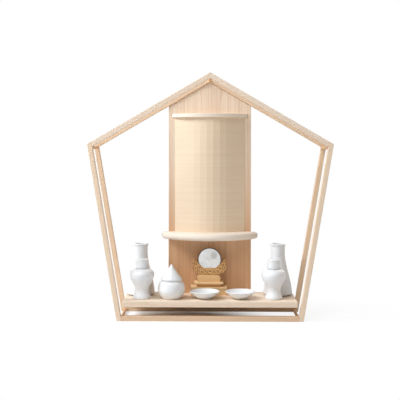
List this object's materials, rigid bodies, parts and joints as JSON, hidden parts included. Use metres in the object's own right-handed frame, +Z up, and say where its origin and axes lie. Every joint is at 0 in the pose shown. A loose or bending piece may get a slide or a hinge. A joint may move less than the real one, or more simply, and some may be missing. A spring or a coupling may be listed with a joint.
{
  "type": "kamidana household shrine shelf",
  "caption": "House-shaped open kamidana of pale wood: two gabled frames joined by dowels, a back board with a bent talisman cover, a shelf with mirror, vases, bottles, jar and dishes.",
  "frame": {"origin": "centre of the bottom of the bounding box, on the surface that the frames stand on", "axes": "+Z up, the front faces -Y, +X to the viewer's right"},
  "size_m": [0.562, 0.128, 0.567],
  "materials": {
    "hinoki": "planed pale cypress, unvarnished",
    "stand_wood": "honey-coloured planed wood",
    "mirror": "polished metal mirror",
    "rim": "dark metal rim",
    "porcelain": "white porcelain, soft gloss"
  },
  "bodies": {
    "root": {"front_roof_bar_left": "hinoki", "front_roof_bar_right": "hinoki", "front_side_bar_left": "hinoki", "front_side_bar_right": "hinoki", "front_bottom_bar": "hinoki", "rear_roof_bar_left": "hinoki", "rear_roof_bar_right": "hinoki", "rear_side_bar_left": "hinoki", "rear_side_bar_right": "hinoki", "rear_bottom_bar": "hinoki", "ridge_dowel": "hinoki", "shoulder_dowel_left": "hinoki", "shoulder_dowel_right": "hinoki", "bottom_dowel_left": "hinoki", "bottom_dowel_right": "hinoki", "back_board": "hinoki", "offering_shelf": "hinoki", "half_moon_shelf": "hinoki", "bent_cover": "hinoki", "cover_cap": "hinoki", "mirror_cloud": "stand_wood", "stand_block": "stand_wood", "stand_top_plate": "stand_wood", "stand_riser": "stand_wood", "stand_low_plate": "stand_wood", "stand_foot_block": "stand_wood", "mirror_disc": "mirror", "mirror_rim": "rim", "vase_left": "porcelain", "vase_right": "porcelain", "bottle_left": "porcelain", "bottle_right": "porcelain", "bottle_lid_left": "porcelain", "bottle_lid_right": "porcelain", "water_jar": "porcelain", "water_jar_lid": "porcelain", "dish_left": "porcelain", "dish_right": "porcelain"}
  },
  "joints": []
}
